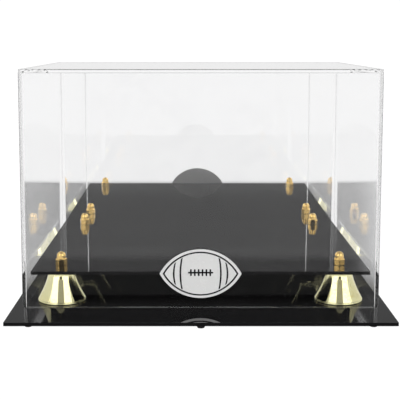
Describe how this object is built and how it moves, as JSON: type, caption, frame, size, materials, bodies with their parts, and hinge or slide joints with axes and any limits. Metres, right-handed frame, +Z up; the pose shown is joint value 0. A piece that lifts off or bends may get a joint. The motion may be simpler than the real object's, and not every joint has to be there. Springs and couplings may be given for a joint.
{
  "type": "football display case",
  "caption": "Clear lift-off display cover with a mirror back over a two-level gloss black stand whose upper plate rests on flared gold risers.",
  "frame": {"origin": "on the plane that the feet stand on, in the middle of the base plate", "axes": "+X to the right along the long side, -Y to the front, +Z up"},
  "size_m": [0.341, 0.3208, 0.2214],
  "materials": {
    "black_acrylic": "high gloss",
    "foot_rubber": "matte",
    "riser_gold": "polished pale gold plate",
    "screw_steel": "zinc plated",
    "nut_brass": "polished",
    "clear_acrylic": "clear, polished",
    "mirror_back": "polished, silvered on the back",
    "badge_white": "white film"
  },
  "bodies": {
    "stand": {"base_plate": "black_acrylic", "platform_plate": "black_acrylic", "foot_front_left": "foot_rubber", "foot_front_middle": "foot_rubber", "foot_front_right": "foot_rubber", "foot_rear_left": "foot_rubber", "foot_rear_middle": "foot_rubber", "foot_rear_right": "foot_rubber", "riser_front_left": "riser_gold", "riser_front_right": "riser_gold", "riser_rear_left": "riser_gold", "riser_rear_right": "riser_gold", "screw_front_left": "screw_steel", "screw_front_right": "screw_steel", "screw_rear_left": "screw_steel", "screw_rear_right": "screw_steel", "acorn_nut_front_left": "nut_brass", "acorn_nut_front_right": "nut_brass", "acorn_nut_rear_left": "nut_brass", "acorn_nut_rear_right": "nut_brass"},
    "cover": {"clear_cover": "clear_acrylic", "mirror_panel": "mirror_back", "front_badge": "badge_white"}
  },
  "joints": [
    {"name": "cover_lift", "type": "slide", "parent": "stand", "child": "cover", "axis": [0, 0, 1], "range_m": [0, 0.22]}
  ]
}
